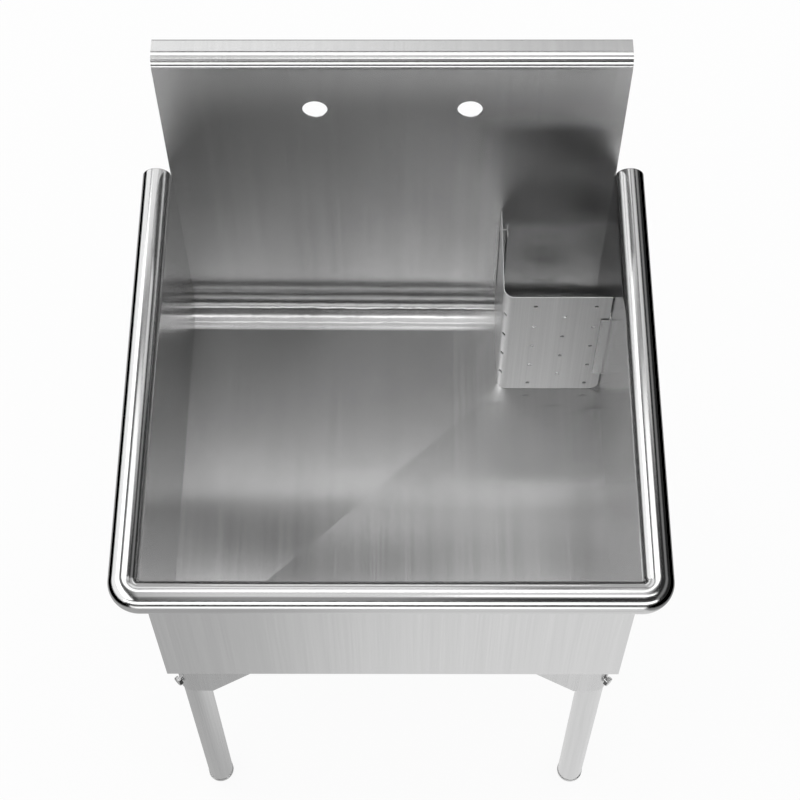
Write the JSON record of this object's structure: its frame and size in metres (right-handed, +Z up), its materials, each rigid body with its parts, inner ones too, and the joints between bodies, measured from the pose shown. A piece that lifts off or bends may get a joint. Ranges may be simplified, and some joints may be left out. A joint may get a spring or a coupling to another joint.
{
  "type": "utility laundry sink",
  "caption": "Free-standing stainless utility sink: square bowl with rolled rim, creased floor, backsplash with faucet holes, lift-out drain baffle, round legs and adjustable feet.",
  "frame": {"origin": "on the floor, under the middle of the whole sink's bounding box", "axes": "+Z up; +X to the right as seen from the front; +Y towards the wall behind the sink"},
  "size_m": [0.6888, 0.6874, 1.0846],
  "materials": {
    "brushed_sheet": "brushed, satin",
    "leg_steel": "satin, polished along the tube",
    "foot_steel": "turned, satin",
    "fastener_steel": "bright plated",
    "polished_steel": "polished",
    "chrome_tube": "chrome-plated brass",
    "zinc": "cast zinc, dull",
    "black_rubber": "matt",
    "fibre": "pressed fibre, matt"
  },
  "bodies": {
    "sink_frame": {"front_wall": "brushed_sheet", "left_wall": "brushed_sheet", "right_wall": "brushed_sheet", "bowl_floor": "brushed_sheet", "backsplash": "brushed_sheet", "left_splash_end": "brushed_sheet", "right_splash_end": "brushed_sheet", "left_rim_corner": "brushed_sheet", "right_rim_corner": "brushed_sheet", "left_rim_cap": "brushed_sheet", "right_rim_cap": "brushed_sheet", "rear_baffle_guide": "brushed_sheet", "side_baffle_guide": "brushed_sheet", "strainer_body": "polished_steel", "flange_gasket": "black_rubber", "seal_ring": "black_rubber", "friction_ring": "fibre", "drain_locknut": "zinc", "tailpiece_washer": "black_rubber", "tailpiece": "chrome_tube", "coupling_nut": "chrome_tube", "front_left_gusset": "brushed_sheet", "front_left_leg_sleeve": "leg_steel", "front_left_leg": "leg_steel", "front_left_leg_plug": "zinc", "front_right_gusset": "brushed_sheet", "front_right_leg_sleeve": "leg_steel", "front_right_leg": "leg_steel", "front_right_leg_plug": "zinc", "rear_left_gusset": "brushed_sheet", "rear_left_leg_sleeve": "leg_steel", "rear_left_leg": "leg_steel", "rear_left_leg_plug": "zinc", "rear_right_gusset": "brushed_sheet", "rear_right_leg_sleeve": "leg_steel", "rear_right_leg": "leg_steel", "rear_right_leg_plug": "zinc", "leg_set_screws": "fastener_steel"},
    "baffle": {"drain_baffle": "brushed_sheet"},
    "basket": {"strainer_basket": "polished_steel", "basket_knob": "polished_steel"},
    "front_left_foot_body": {"front_left_foot": "foot_steel"},
    "front_right_foot_body": {"front_right_foot": "foot_steel"},
    "rear_left_foot_body": {"rear_left_foot": "foot_steel"},
    "rear_right_foot_body": {"rear_right_foot": "foot_steel"}
  },
  "joints": [
    {"name": "baffle_lift", "type": "slide", "parent": "sink_frame", "child": "baffle", "axis": [0, 0, 1], "range_m": [0, 0.6]},
    {"name": "basket_lift", "type": "slide", "parent": "sink_frame", "child": "basket", "axis": [0, 0, 1], "range_m": [0, 0.63]},
    {"name": "front_left_foot_screw", "type": "slide", "parent": "sink_frame", "child": "front_left_foot_body", "axis": [0, 0, -1], "range_m": [0, 0.025]},
    {"name": "front_right_foot_screw", "type": "slide", "parent": "sink_frame", "child": "front_right_foot_body", "axis": [0, 0, -1], "range_m": [0, 0.025]},
    {"name": "rear_left_foot_screw", "type": "slide", "parent": "sink_frame", "child": "rear_left_foot_body", "axis": [0, 0, -1], "range_m": [0, 0.025]},
    {"name": "rear_right_foot_screw", "type": "slide", "parent": "sink_frame", "child": "rear_right_foot_body", "axis": [0, 0, -1], "range_m": [0, 0.025]}
  ]
}
